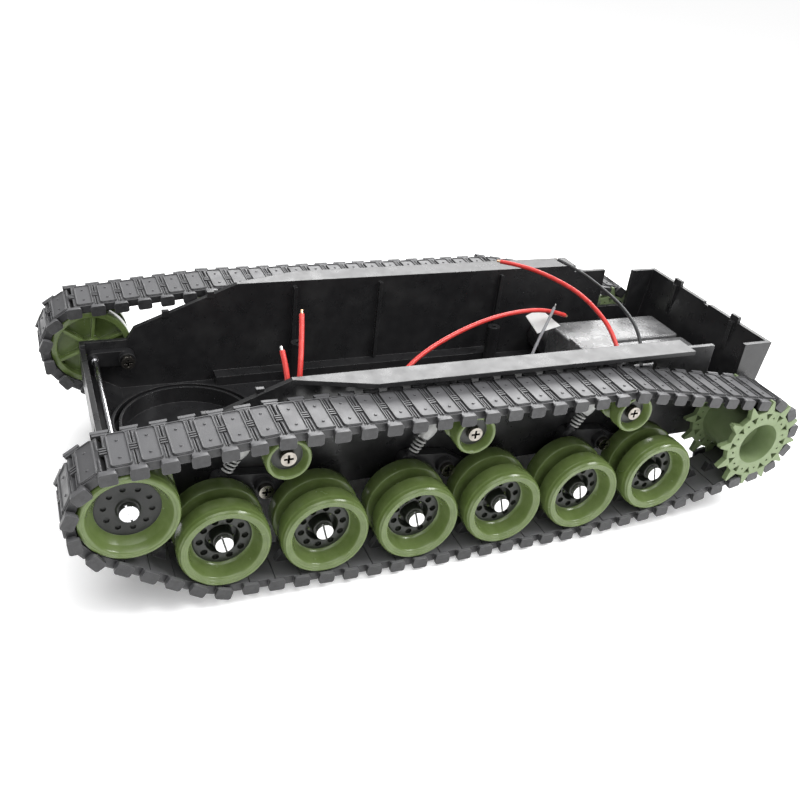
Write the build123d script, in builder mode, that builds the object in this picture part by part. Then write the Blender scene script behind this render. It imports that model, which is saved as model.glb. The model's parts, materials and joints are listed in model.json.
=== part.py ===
"""Tracked tank chassis for robotics kits: hull tub, rocker bogies, wheels, tracks, drive and wiring.

Frame: millimetres, +X forwards (idler end), +Y left, +Z up, Z = 0 on the ground under the tracks.
Every piece is built in place in the assembled chassis.
"""

from build123d import *
import math
import os

# Wheels and their places
wheel_pitch = 32.5
wheel_radius = 14.7
wheel_centre_x = 7.6
ground_wheel_z = 19.0
wheel_lift = (2.8, 1.2, 0.0, 0.0, 0.0, 2.8)
idler_x, idler_z = 116.4, 38.9
axle_radius = 1.1
sprocket_x, sprocket_z = -116.4, 31.8
roller_x = (69.6, 6.6, -56.4)
roller_z, roller_radius = 50.4, 7.3
side_y = 53.5
groove_inner_y, groove_outer_y = 51.2, 55.8
disc_inner_y, disc_outer_y = 45.0, 63.4
head_face_y = 60.8

# Track
link_pitch_nominal = 8.45
link_half_width = 9.0
lug_half_width, lug_inner_gap = 11.4, 0.2
pin_above_tread = 0.8
tread_gap = 0.2
plate_top, pad_top = 1.2, 2.7
lug_length, lug_bottom, lug_top = 5.2, 0.6, 3.3
horn_height, horn_width = 3.4, 2.4

# Hull
wall_outer_y, wall_thickness = 39.0, 1.8
wall_inner_y = wall_outer_y - wall_thickness
hull_bottom_z, floor_z = 22.8, 24.6
flange_top_z, flange_thickness, flange_outer_y = 65.2, 1.6, 46.8
flange_rear_x, flange_corner_x, flange_front_x = -89.5, 37.0, 62.8
nose_x, tail_x = 121.3, -135.3
front_wall_top_z = 43.4
ring_x, ring_radius, ring_top_z = 88.8, 26.0, 31.0
post_centre_x, post_spacing_x, post_spacing_y = -4.2, 88.5, 60.0
post_top_z, post_hole_radius, post_hole_depth = 42.0, 1.0, 9.0
wire_port_top_z = 28.5
ledge_inner_y, ledge_top_z = 31.5, 28.6

# Rocker bogies
bogie_x = (72.6, 7.6, -57.4)
pivot_rise = 9.0
arm_inner_y, arm_outer_y = 39.5, 43.4
pin_radius, pin_head_radius = 1.5, 2.8
journal_radius, running_fit = 2.2, 0.05
bogie_journal_end_y, roller_journal_end_y = 46.5, 58.6
shock_y, shock_peg_radius = 42.3, 1.2
shock_foot, shock_top = (14.0, 2.8), (4.5, 18.0)
barrel_end, spring_start, spring_end, seat_start, seat_end = 7.6, 8.0, 13.6, 14.2, 15.0
spring_radius, spring_wire_radius, spring_turns = 1.65, 0.35, 4

# Self-tapping pan-head screws, all alike
screw_radius, screw_length = 1.0, 6.0
screw_head_radius, screw_head_height = 2.5, 1.8
tensioner_screw_x, tensioner_screw_y = 105.0, 31.8

# Drive
gear_y, gear_width, gear_radius, gear_teeth = 13.0, 3.6, 6.6, 26
shaft_radius = 2.0
case_rear_x, case_front_x, case_inner_y, case_outer_y, case_top_z = -124.6, -70.0, 1.0, 21.0, 46.0
motor_x, motor_z, motor_radius = -78.0, 33.0, 7.2
motor_inner_y, motor_outer_y = 21.2, 36.6
shoulder_x, shoulder_y, shoulder_bottom_z, shoulder_top_z = -66.3, 22.5, 44.0, 56.5
shoulder_length, shoulder_width = 17.6, 20.0
sprocket_rings = ((42.4, 44.2), (62.8, 64.9))
tooth_phase = 3.0

# Wires: diameter, then the route from the fixed end to the free end
wire_routes = {
    "motor_wire_red": (1.8, [
        (-71.3, 26.8, 55.6), (-71.4, 20.5, 61.3), (-71.4, 8.0, 65.2), (-69.5, -6.0, 67.9),
        (-62.5, -20.0, 69.7), (-55.0, -29.5, 70.3), (-48.0, -36.0, 69.8)]),
    "motor_wire_black": (1.4, [
        (-77.6, 34.4, 39.2), (-77.7, 34.4, 47.2), (-80.4, 30.2, 54.0), (-85.2, 18.5, 60.3),
        (-88.2, 3.5, 62.8), (-87.2, -13.5, 65.2), (-84.0, -28.0, 67.3), (-78.1, -38.0, 69.0)]),
    "battery_wire_red": (1.8, [
        (27.5, 26.0, 27.5), (25.5, 23.5, 38.0), (17.0, 16.0, 47.0), (5.0, 9.0, 53.2),
        (-13.0, 2.5, 58.0), (-31.0, -2.2, 60.9), (-49.0, -6.2, 60.6), (-61.0, -8.6, 58.3),
        (-70.6, -10.0, 54.5)]),
    "signal_wire_grey": (1.2, [
        (-47.0, 0.0, 27.5), (-50.0, -1.5, 37.0), (-54.0, -3.5, 46.8), (-58.0, -5.0, 55.0),
        (-61.0, -6.0, 62.6)]),
    "short_lead_red": (1.8, [
        (64.5, 29.0, 27.5), (63.8, 31.8, 36.6), (63.0, 34.0, 46.5), (62.6, 34.3, 56.0),
        (62.6, 31.3, 64.6), (63.2, 25.4, 70.3)]),
    "tall_lead_red": (1.8, [
        (56.0, 29.0, 27.5), (58.0, 32.4, 38.9), (59.4, 34.2, 51.6), (58.6, 32.6, 63.8),
        (56.0, 24.5, 71.2), (54.1, 16.8, 78.6)]),
}

sides = {"left": 1, "right": -1}
wheel_x = [wheel_centre_x + wheel_pitch * (2.5 - k) for k in range(6)]
wheel_z = [ground_wheel_z + lift for lift in wheel_lift]
bogie_z = [(wheel_z[2 * k] + wheel_z[2 * k + 1]) / 2 + pivot_rise for k in range(3)]
pivot_centres = list(zip(bogie_x, bogie_z))
roller_centres = [(x, roller_z) for x in roller_x]
post_places = [(post_centre_x + i * post_spacing_x / 2, j * post_spacing_y / 2) for i in (1, -1) for j in (1, -1)]
tread_to_pin = tread_gap + pin_above_tread
sprocket_pin_radius = 6 * link_pitch_nominal / math.pi

os.makedirs("parts", exist_ok=True)


def save(builder, name):
    """Label a finished piece and write it to its own STEP file."""
    builder.part.label = name
    export_step(builder.part, f"parts/{name}.step")


def cross_plane(x, y, z):
    """Plane through a wheel centre whose local X is radial and local Y runs along the axle."""
    return Plane(origin=(x, y, z), x_dir=(1, 0, 0), z_dir=(0, 0, 1))


def face_plane(x, y, z, side):
    """Plane square to an axle, looking outwards from the hull, with its local Y pointing up."""
    return Plane(origin=(x, y, z), x_dir=(-side, 0, 0), z_dir=(0, side, 0))


def axle_axis(x, z):
    """Axis across the chassis through the point (x, z)."""
    return Axis((x, 0, z), (0, 1, 0))


def turned(x, z, side, profile):
    """Solid of revolution about an axle: profile is a list of (radius, distance from midplane)."""
    with BuildPart() as body:
        with BuildSketch(cross_plane(x, 0, z)):
            with BuildLine():
                Polyline(*[(radius, side * y) for radius, y in profile], close=True)
            make_face()
        revolve(axis=axle_axis(x, z))
    return body.part


# ---------------------------------------------------------------- track path and tracks

def path_circles():
    """Circles that the track's pins run around, clockwise seen from the left side."""
    top = roller_radius + tread_to_pin
    under = wheel_radius + tread_to_pin
    front = [(idler_x, idler_z, under)] + [(x, z, under) for x, z in zip(wheel_x, wheel_z)]
    rollers = [(x, roller_z, top) for x in reversed(roller_x)]
    return front + [(sprocket_x, sprocket_z, sprocket_pin_radius)] + rollers


def tangent_normal(a, b):
    """Angle of the outward normal of the belt tangent from circle a to circle b."""
    dx, dz = b[0] - a[0], b[1] - a[1]
    span = math.hypot(dx, dz)
    return math.atan2(dx, -dz) - math.asin((a[2] - b[2]) / span)


def path_pieces():
    """Arcs and straights of the closed path: (length, circle, start angle, straight end)."""
    circles = path_circles()
    count = len(circles)
    normals = [tangent_normal(circles[k], circles[(k + 1) % count]) for k in range(count)]
    pieces = []
    for k, circle in enumerate(circles):
        sweep = (normals[k - 1] - normals[k]) % (2 * math.pi)
        pieces.append((sweep * circle[2], circle, normals[k - 1], None))
        after = circles[(k + 1) % count]
        start = on_circle(circle, normals[k])
        end = on_circle(after, normals[k])
        pieces.append((math.dist(start, end), start, normals[k], end))
    return pieces


def on_circle(circle, angle):
    """Point of a path circle at an angle."""
    return circle[0] + circle[2] * math.cos(angle), circle[1] + circle[2] * math.sin(angle)


def point_on_path(distance, pieces):
    """Position and outward normal angle at a distance along the path."""
    for length, origin, angle, end in pieces:
        if distance > length:
            distance -= length
            continue
        if end is None:
            here = angle - distance / origin[2]
            return on_circle(origin, here), here
        share = distance / length
        return tuple(p + share * (q - p) for p, q in zip(origin, end)), angle
    return point_on_path(0, pieces)


def link_count():
    """Whole number of links that fits the closed path best."""
    return round(sum(piece[0] for piece in path_pieces()) / link_pitch_nominal)


def link_places(y):
    """One plane per link, from a link centred on a sprocket tooth, evenly along the path."""
    pieces = path_pieces()
    total = sum(piece[0] for piece in pieces)
    drive = next(k for k, piece in enumerate(pieces) if piece[1][:2] == (sprocket_x, sprocket_z))
    before_tooth = pieces[drive][2] % (2 * math.pi) - math.radians(180 + tooth_phase)
    start = sum(piece[0] for piece in pieces[:drive]) + before_tooth * sprocket_pin_radius
    places = []
    for k in range(link_count()):
        (x, z), angle = point_on_path((start + k * total / link_count()) % total, pieces)
        out = (math.cos(angle), 0, math.sin(angle))
        along = (math.sin(angle), 0, -math.cos(angle))
        places.append(Plane(origin=(x, y, z), x_dir=along, z_dir=out).location)
    return places


def make_link():
    """One track link about its own centre: plate, raised pad, edge lugs at one joint, guide horn."""
    length = link_pitch_nominal
    with BuildPart() as link:
        with Locations((0, 0, (plate_top - pin_above_tread) / 2)):
            Box(length - 0.8, 2 * link_half_width, plate_top + pin_above_tread)
        with BuildSketch(Plane.XY.offset(plate_top)):
            RectangleRounded(length - 1.3, 2 * link_half_width - 0.8, 1.2)
        extrude(amount=pad_top - plate_top)
        for side in (1, -1):
            with BuildSketch(Plane.XZ.offset(-side * (lug_half_width + lug_inner_gap + link_half_width) / 2)):
                with Locations((length / 2, (lug_top + lug_bottom) / 2)):
                    RectangleRounded(lug_length, lug_top - lug_bottom, 0.8)
            extrude(amount=(lug_half_width - lug_inner_gap - link_half_width) / 2, both=True)
            with Locations((length / 2 - 1.35, side * link_half_width, 0.4)):
                Box(1.7, 1.0, 2.2)
        with BuildSketch(Plane.XZ.offset(-horn_width / 2)):
            with BuildLine():
                Polyline((-2.4, -0.6), (2.4, -0.6), (0.4, -pin_above_tread - horn_height),
                         (-0.4, -pin_above_tread - horn_height), close=True)
            make_face()
        extrude(amount=horn_width)
    return link.part


def make_track(side_name):
    """One closed run of links, each a separate solid."""
    link = make_link()
    with BuildPart() as track:
        add([link.moved(place) for place in link_places(sides[side_name] * side_y)])
    save(track, f"track_{side_name}")


# ---------------------------------------------------------------- wheels

def make_road_wheel(name, x, z, side):
    """Twin-disc wheel with a deep outer dish, a ring of round recesses and a hub for its pin."""
    bore = pin_radius + running_fit
    rim, core = wheel_radius, 8.2
    outline = [
        (bore, disc_inner_y + 1.0), (4.0, disc_inner_y + 1.0), (4.0, disc_inner_y + 3.0),
        (11.4, disc_inner_y + 3.0), (12.2, disc_inner_y), (rim - 0.5, disc_inner_y),
        (rim, disc_inner_y + 0.5), (rim, groove_inner_y), (core, groove_inner_y),
        (core, groove_outer_y), (rim - 0.3, groove_outer_y), (rim, groove_outer_y + 0.4),
        (rim, disc_outer_y - 1.6), (rim - 0.6, disc_outer_y - 0.9), (rim - 0.8, disc_outer_y - 0.2),
        (rim - 1.2, disc_outer_y), (10.9, disc_outer_y), (10.5, disc_outer_y - 0.5),
        (9.0, 57.4), (5.4, 57.4), (5.0, 54.2), (3.4, 54.2), (3.2, 58.9), (bore, 58.9)]
    blank = turned(x, z, side, outline)
    with BuildPart() as wheel:
        add(blank)
        with BuildSketch(face_plane(x, side * 57.4, z, side)):
            with PolarLocations(7.1, 10):
                Circle(1.05)
        extrude(amount=-1.3, mode=Mode.SUBTRACT)
    save(wheel, name)


def make_idler(name, side):
    """Front idler: a twin-disc wheel with a smoother dish and radial ribs on its inner face."""
    bore = pin_radius + running_fit
    rim, core = wheel_radius, 8.2
    outline = [
        (bore, disc_inner_y), (3.4, disc_inner_y), (3.4, disc_inner_y + 4.0),
        (11.6, disc_inner_y + 4.0), (11.6, disc_inner_y), (rim, disc_inner_y), (rim, groove_inner_y),
        (core, groove_inner_y), (core, groove_outer_y), (rim, groove_outer_y),
        (rim, disc_outer_y - 0.9), (rim - 0.9, disc_outer_y), (11.2, disc_outer_y),
        (10.8, disc_outer_y - 0.5), (8.6, 57.8), (3.6, 57.8), (3.2, 58.9), (bore, 58.9)]
    blank = turned(idler_x, idler_z, side, outline)
    with BuildPart() as wheel:
        add(blank)
        with BuildSketch(face_plane(idler_x, side * (disc_inner_y + 0.6), idler_z, -side)):
            with PolarLocations(7.5, 6):
                Rectangle(8.6, 1.1)
        extrude(amount=-3.8)
        with BuildSketch(face_plane(idler_x, side * 57.8, idler_z, side)):
            with PolarLocations(6.2, 10):
                Circle(0.8)
        extrude(amount=-1.0, mode=Mode.SUBTRACT)
    save(wheel, name)


def make_return_roller(name, x, side):
    """Small twin-disc roller that carries the upper track run."""
    bore = journal_radius + running_fit
    rim, core = roller_radius, 3.1
    outline = [
        (bore, 45.4), (rim, 45.4), (rim, groove_inner_y), (core, groove_inner_y),
        (core, groove_outer_y), (rim, groove_outer_y), (rim, 60.6), (rim - 0.5, 61.2),
        (rim - 1.2, 61.2), (4.6, 58.4), (bore, 58.4)]
    blank = turned(x, roller_z, side, outline)
    with BuildPart() as roller:
        add(blank)
    save(roller, name)


def make_sprocket(name, side):
    """Drive sprocket: two twelve-toothed rings on a cupped drum, bored for the output shaft."""
    (inner_near, inner_far), (outer_near, outer_far) = sprocket_rings
    ring, drum, cup = 14.4, 9.4, 8.6
    outline = [
        (shaft_radius, inner_near), (ring, inner_near), (ring, inner_far), (drum, inner_far),
        (drum, outer_near), (ring, outer_near), (ring, outer_far), (cup, outer_far),
        (cup - 1.0, 56.0), (shaft_radius, 56.0)]
    first = -side * tooth_phase
    blank = turned(sprocket_x, sprocket_z, side, outline)
    with BuildPart() as sprocket:
        add(blank)
        for near, far in sprocket_rings:
            with BuildSketch(face_plane(sprocket_x, side * near, sprocket_z, side)):
                with PolarLocations(0, 12, start_angle=first):
                    Polygon((13.9, -1.95), (18.6, -0.45), (18.6, 0.45), (13.9, 1.95), align=None)
            extrude(amount=far - near)
            with BuildSketch(face_plane(sprocket_x, side * (near - 0.1), sprocket_z, side)):
                with PolarLocations(0, 12, start_angle=first):
                    Polygon((10.6, 0), (13.4, -1.5), (13.4, 1.5), align=None)
                with PolarLocations(11.6, 12, start_angle=first + 15):
                    Circle(0.45)
            extrude(amount=far - near + 0.2, mode=Mode.SUBTRACT)
    save(sprocket, name)


def make_output_shaft(name, side):
    """Gearbox output shaft with its final gear, pressed into the sprocket."""
    with BuildPart() as shaft:
        with BuildSketch(face_plane(sprocket_x, side * (gear_y - 6), sprocket_z, side)):
            Circle(shaft_radius)
        extrude(amount=55.0 - gear_y + 6)
        with BuildSketch(face_plane(sprocket_x, side * gear_y, sprocket_z, side)):
            Circle(gear_radius - 0.8)
            with PolarLocations(gear_radius - 0.6, gear_teeth):
                Rectangle(1.2, 0.7)
        extrude(amount=gear_width)
    save(shaft, name)


# ---------------------------------------------------------------- rocker bogies and their shocks

def shock_point(k, distance):
    """Point on the shock's axis in the XZ plane, measured down from its top eye."""
    dx, dz = shock_foot[0] - shock_top[0], shock_foot[1] - shock_top[1]
    share = distance / math.hypot(dx, dz)
    return bogie_x[k] + shock_top[0] + share * dx, bogie_z[k] + shock_top[1] + share * dz


def shock_plane(k, side, distance):
    """Plane square to the shock's axis, looking up the shock."""
    x, z = shock_point(k, distance)
    top = shock_point(k, distance - 1)
    return Plane(origin=(x, side * shock_y, z), x_dir=(0, 1, 0), z_dir=(top[0] - x, 0, top[1] - z))


def make_bogie_arm(name, k, side):
    """Rocker arm: a boss on the hull's journal, two wheel bosses and the seat of the shock."""
    pivot = (bogie_x[k], bogie_z[k])
    wheels = [(wheel_x[2 * k + i], wheel_z[2 * k + i]) for i in (0, 1)]
    foot = (pivot[0] + shock_foot[0], pivot[1] + shock_foot[1])
    arm_width = arm_outer_y - arm_inner_y
    plane = face_plane(0, side * arm_inner_y, 0, side)

    def at(point):
        return -side * point[0], point[1]

    with BuildPart() as arm:
        for ends in ((wheels[0], foot), (wheels[1],)):
            with BuildSketch(plane):
                with Locations(at(pivot)):
                    Circle(4.0)
                with Locations(*[at(end) for end in ends]):
                    Circle(2.6)
                make_hull()
            extrude(amount=arm_width)
        with BuildSketch(plane):
            with Locations(*[at(wheel) for wheel in wheels]):
                Circle(3.6)
        extrude(amount=arm_width + 1.2)
        with BuildSketch(plane):
            with Locations(at(pivot)):
                Circle(3.0)
        extrude(amount=bogie_journal_end_y - 0.2 - arm_inner_y)
        with BuildSketch(plane):
            with Locations(at(pivot)):
                Circle(journal_radius + running_fit)
        extrude(amount=10, mode=Mode.SUBTRACT)
        with BuildSketch(plane):
            with Locations(*[at(wheel) for wheel in wheels]):
                Circle(pin_radius)
        extrude(amount=10, mode=Mode.SUBTRACT)
        for radius, low, high in ((1.5, 17.9, seat_end), (2.1, seat_end, seat_start), (0.8, seat_start, 9.0)):
            with BuildSketch(shock_plane(k, side, low)):
                Circle(radius)
            extrude(amount=low - high)
    save(arm, name)


def slotted_pin(x, z, side, inner_y):
    """Wheel pin with a screwdriver slot in its head."""
    with BuildPart() as pin:
        with BuildSketch(face_plane(x, side * inner_y, z, side)):
            Circle(pin_radius)
        extrude(amount=59.2 - inner_y)
        with BuildSketch(face_plane(x, side * 59.0, z, side)):
            Circle(pin_head_radius)
        extrude(amount=head_face_y - 59.0)
        with BuildSketch(face_plane(x, side * (head_face_y - 0.8), z, side)):
            Rectangle(0.6, 2 * pin_head_radius + 1, rotation=15)
        extrude(amount=1, mode=Mode.SUBTRACT)
    return pin.part


def make_wheel_pins(name, k, side):
    """The two slotted pins that hold a bogie's wheels."""
    pair = [slotted_pin(wheel_x[i], wheel_z[i], side, arm_inner_y + 0.2) for i in (2 * k, 2 * k + 1)]
    with BuildPart() as pins:
        add(pair)
    save(pins, name)


def make_spring(name, k, side):
    """Coil spring between the shock's barrel and its seat on the arm."""
    plane = shock_plane(k, side, spring_end)
    height = spring_end - spring_start
    with BuildPart() as spring:
        with BuildLine() as coil:
            Helix(pitch=height / spring_turns, height=height, radius=spring_radius, center=plane.origin,
                  direction=plane.z_dir)
        with BuildSketch(Plane(origin=coil.line @ 0, z_dir=coil.line % 0)):
            Circle(spring_wire_radius)
        sweep(path=coil.line, is_frenet=True)
    save(spring, name)


def make_shock_barrels():
    """The six shock barrels, held on the hull by their top eyes."""
    mouth = barrel_end - 2.6
    outline = [(0, -1.8), (1.1, -1.4), (1.8, 0), (2.6, 3.6), (2.5, 5.6), (2.0, barrel_end), (1.5, barrel_end),
               (1.5, mouth), (0, mouth)]
    with BuildPart() as barrels:
        for side in sides.values():
            for k in range(3):
                x, z = shock_point(k, 0)
                low_x, low_z = shock_point(k, 1)
                down = (low_x - x, 0, low_z - z)
                section = Plane(origin=(x, side * shock_y, z), x_dir=(0, 1, 0), z_dir=(down[2], 0, -down[0]))
                with BuildSketch(section):
                    with BuildLine():
                        Polyline(*outline, close=True)
                    make_face()
                revolve(axis=Axis(section.origin, down))
                with BuildSketch(face_plane(x, side * (wall_outer_y + 0.3), z, side)):
                    Circle(shock_peg_radius)
                extrude(amount=shock_y - wall_outer_y, mode=Mode.SUBTRACT)
    save(barrels, "shock_barrels")


# ---------------------------------------------------------------- hull

def outer_side_outline():
    """Side view of the tub, from the front of the floor clockwise over the top to the rear."""
    return [
        (108.0, hull_bottom_z), (-127.5, hull_bottom_z), (-131.8, 33.0), (tail_x, 61.0), (-121.8, 61.0),
        (-121.8, 44.0), (-106.0, 44.0), (-106.0, 62.2), (flange_rear_x, 62.2), (flange_rear_x, flange_top_z),
        (flange_front_x, flange_top_z), (101.5, 49.8), (104.5, 45.0), (nose_x, 45.0), (nose_x, 31.0)]


def inner_side_outline():
    """Side view of the space inside the tub, open at the top."""
    high = 80.0
    return [
        (107.5, floor_z), (-126.2, floor_z), (-129.9, 33.2), (-133.4, 61.0), (-133.4, high), (119.5, high),
        (119.5, 32.2)]


def side_rods(side, centres, radius, near_y, far_y):
    """Round rods square to a side wall, to be added as bosses or cut as holes."""
    with BuildPart() as rods:
        for x, z in centres:
            with BuildSketch(face_plane(x, side * near_y, z, side)):
                Circle(radius)
            extrude(amount=far_y - near_y)
    return rods.part


def side_bosses(side):
    """Journals of the arms and rollers with their collars, and the pegs of the shocks."""
    root_y = wall_outer_y - 0.5
    collars = side_rods(side, pivot_centres + roller_centres, journal_radius + 0.9, root_y, wall_outer_y + 0.35)
    sleeves = side_rods(side, roller_centres, journal_radius + 0.4, root_y, 45.2)
    arm_journals = side_rods(side, pivot_centres, journal_radius, root_y, bogie_journal_end_y)
    roller_journals = side_rods(side, roller_centres, journal_radius, root_y, roller_journal_end_y)
    pegs = side_rods(side, [shock_point(k, 0) for k in range(3)], shock_peg_radius, root_y, shock_y)
    return [collars, sleeves, arm_journals, roller_journals, pegs]


def side_holes(side):
    """Screw holes of the journals and tensioner, the shaft hole and the slot of the idler axle."""
    inside_y = wall_inner_y - 1
    pivots = side_rods(side, pivot_centres, screw_radius, bogie_journal_end_y - screw_length, bogie_journal_end_y)
    rollers = side_rods(side, roller_centres, screw_radius, roller_journal_end_y - screw_length,
                        roller_journal_end_y)
    shaft = side_rods(side, [(sprocket_x, sprocket_z)], shaft_radius + 0.4, inside_y, inside_y + 4)
    tensioner = side_rods(side, [(tensioner_screw_x, idler_z)], screw_radius, inside_y, inside_y + 1.8)
    with BuildPart() as slot:
        with BuildSketch(face_plane(idler_x - 1, side * inside_y, idler_z, side)):
            SlotOverall(9, 2 * pin_radius + 0.4)
        extrude(amount=4)
    return [pivots, rollers, shaft, tensioner, slot.part]


def flange(side):
    """Flat strip along the top of a side wall, tapered at its front corner."""
    with BuildPart() as strip:
        with BuildSketch(Plane.XY.offset(flange_top_z - flange_thickness)):
            with BuildLine():
                Polyline((flange_rear_x, side * wall_inner_y), (flange_rear_x, side * flange_outer_y),
                         (flange_corner_x, side * flange_outer_y), (flange_front_x, side * wall_outer_y),
                         (flange_front_x, side * wall_inner_y), close=True)
            make_face()
        extrude(amount=flange_thickness)
    return strip.part


def wall_details(side):
    """Upright ribs, floor ledge and two small tabs on the sloping edge of a side wall."""
    ledge_outer_y = wall_outer_y - 1
    with BuildPart() as details:
        for x in (-52.0, 4.0, 40.0):
            with Locations((x, side * (wall_inner_y - 0.6), 46.0)):
                Box(1.4, 2.2, 34.0)
        with Locations((11.0, side * (ledge_inner_y + ledge_outer_y) / 2, (floor_z - 0.5 + ledge_top_z) / 2)):
            Box(122.0, ledge_outer_y - ledge_inner_y, ledge_top_z - floor_z + 0.5)
        for x, z in ((73.0, 61.4), (90.0, 54.7)):
            with Locations((x, side * (wall_inner_y + 0.4), z)):
                Box(2.6, 1.6, 2.6)
    return details.part


def floor_details():
    """Double-lipped floor ring, deck posts and wire ports, standing on the floor."""
    with BuildPart() as details:
        with BuildSketch(Plane.XY.offset(floor_z - 0.5)):
            with Locations((ring_x, 0)):
                for radius in (ring_radius, ring_radius - 2.6):
                    Circle(radius)
                    Circle(radius - 1.0, mode=Mode.SUBTRACT)
        extrude(amount=ring_top_z - floor_z + 0.5)
        with BuildSketch(Plane.XY.offset(floor_z - 0.5)):
            with Locations(*post_places):
                Circle(2.6)
        extrude(amount=post_top_z - floor_z + 0.5)
        with BuildSketch(Plane.XY.offset(post_top_z)):
            with Locations(*post_places):
                Circle(post_hole_radius)
        extrude(amount=-post_hole_depth, mode=Mode.SUBTRACT)
        with BuildSketch(Plane.XY.offset(floor_z - 0.5)):
            with Locations(*[(route[0][0], route[0][1]) for route in floor_routes()]):
                Circle(2.0)
        extrude(amount=wire_port_top_z - floor_z + 0.5)
    return details.part


def rear_box_details():
    """Snap tabs with their ribs on the rear wall."""
    with BuildPart() as details:
        for y in (-19.5, 18.5):
            with Locations((-133.9, y, 61.6)):
                Box(1.6, 4.6, 3.6)
            with Locations((-132.6, y, 54.0)):
                Box(1.8, 2.4, 14.0)
    return details.part


def wall_cuts():
    """Low front wall with its two slots, the rear wall's notch and the window in the left wall."""
    with BuildPart() as cuts:
        with Locations((nose_x, 0, front_wall_top_z + 5)):
            Box(6, 2 * wall_inner_y - 4, 10)
        for y in (-25.0, 16.0):
            with Locations((nose_x, y, 38.6)):
                Box(6, 7.0, 4.6)
        with Locations((tail_x + 1.1, 0.5, 61.0)):
            Box(4.0, 3.2, 1.6)
        with BuildSketch(face_plane(-69.5, wall_inner_y - 1, 53.8, 1)):
            RectangleRounded(21, 7.4, 1.2)
        extrude(amount=4)
    return cuts.part


def floor_routes():
    """Routes of the wires that come up out of the floor's ports."""
    return [route for _, route in wire_routes.values() if route[0][2] < wire_port_top_z]


def make_hull_tub():
    """Moulded tub with its flanges, journals, rear box, floor ring, posts and ribs."""
    additions = [floor_details(), rear_box_details()]
    cuts = [wall_cuts()]
    for side in sides.values():
        additions += [flange(side), wall_details(side)] + side_bosses(side)
        cuts += side_holes(side)
    with BuildPart() as hull:
        with BuildSketch(Plane.XZ):
            with BuildLine():
                Polyline(*outer_side_outline(), close=True)
            make_face()
        extrude(amount=wall_outer_y, both=True)
        with BuildSketch(Plane.XZ):
            with BuildLine():
                Polyline(*inner_side_outline(), close=True)
            make_face()
        extrude(amount=wall_inner_y, both=True, mode=Mode.SUBTRACT)
        add(additions)
        add(cuts, mode=Mode.SUBTRACT)
    save(hull, "hull")


# ---------------------------------------------------------------- drive and fittings inside the hull

def make_gearbox(name, side):
    """Translucent gear cover, open underneath; the left one has a raised shoulder over its motor."""
    wall = 1.2
    middle_x, length = (case_front_x + case_rear_x) / 2, case_front_x - case_rear_x
    middle_y, width = side * (case_inner_y + case_outer_y) / 2, case_outer_y - case_inner_y
    bottom = (Align.CENTER, Align.CENTER, Align.MIN)
    with BuildPart() as case:
        with Locations((middle_x, middle_y, floor_z)):
            Box(length, width, case_top_z - floor_z, align=bottom)
        fillet(case.edges().filter_by(Axis.Z), 1.5)
        fillet(case.faces().sort_by(Axis.Z)[-1].edges(), 1.0)
        if side > 0:
            with Locations((shoulder_x, shoulder_y, shoulder_bottom_z)):
                Box(shoulder_length, shoulder_width, shoulder_top_z - shoulder_bottom_z, align=bottom)
            with Locations((shoulder_x, shoulder_y, shoulder_bottom_z + wall)):
                Box(shoulder_length - 2 * wall, shoulder_width - 2 * wall,
                    shoulder_top_z - shoulder_bottom_z - 2 * wall, align=bottom, mode=Mode.SUBTRACT)
        with Locations((middle_x, middle_y, floor_z)):
            Box(length - 2 * wall, width - 2 * wall, case_top_z - floor_z - wall, align=bottom,
                mode=Mode.SUBTRACT)
        for x, z, radius in ((sprocket_x, sprocket_z, shaft_radius + 0.4), (motor_x, motor_z, 1.6)):
            with BuildSketch(face_plane(x, side * (case_outer_y - 2), z, side)):
                Circle(radius)
            extrude(amount=4, mode=Mode.SUBTRACT)
    save(case, name)


def make_motors():
    """The two drive motors: can, front bush and shaft with its pinion."""
    with BuildPart() as motors:
        for side in sides.values():
            for radius, near, far in ((motor_radius, motor_inner_y, motor_outer_y), (1.5, 19.0, motor_inner_y),
                                      (0.75, 12.0, 19.0), (1.8, gear_y, gear_y + gear_width)):
                with BuildSketch(face_plane(motor_x, side * near, motor_z, side)):
                    Circle(radius)
                extrude(amount=far - near)
    save(motors, "motors")


def make_idler_axle():
    """Steel rod across the nose with thicker ends and slotted heads that keep the idlers on."""
    ends = [slotted_pin(idler_x, idler_z, side, 33.0) for side in sides.values()]
    with BuildPart() as axle:
        with BuildSketch(face_plane(idler_x, -34.0, idler_z, 1)):
            Circle(axle_radius)
        extrude(amount=68.0)
        add(ends)
    save(axle, "idler_axle")


def make_idler_tensioners():
    """Blocks inside the nose that carry the axle and are set by one screw each."""
    with BuildPart() as tensioners:
        for side in sides.values():
            plane = face_plane(0, side * 34.4, 0, side)
            with BuildSketch(plane):
                with Locations((-side * idler_x, idler_z)):
                    Circle(2.9)
                with Locations((-side * tensioner_screw_x, idler_z)):
                    Circle(3.0)
                make_hull()
            extrude(amount=wall_inner_y - 0.1 - 34.4)
            with BuildSketch(plane):
                with Locations((-side * tensioner_screw_x, idler_z)):
                    Circle(3.0)
            extrude(amount=tensioner_screw_y + 0.1 - 34.4)
            with BuildSketch(face_plane(0, side * 30, 0, side)):
                with Locations((-side * idler_x, idler_z)):
                    Circle(pin_radius)
                with Locations((-side * tensioner_screw_x, idler_z)):
                    Circle(screw_radius)
            extrude(amount=10, mode=Mode.SUBTRACT)
    save(tensioners, "idler_tensioners")


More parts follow.
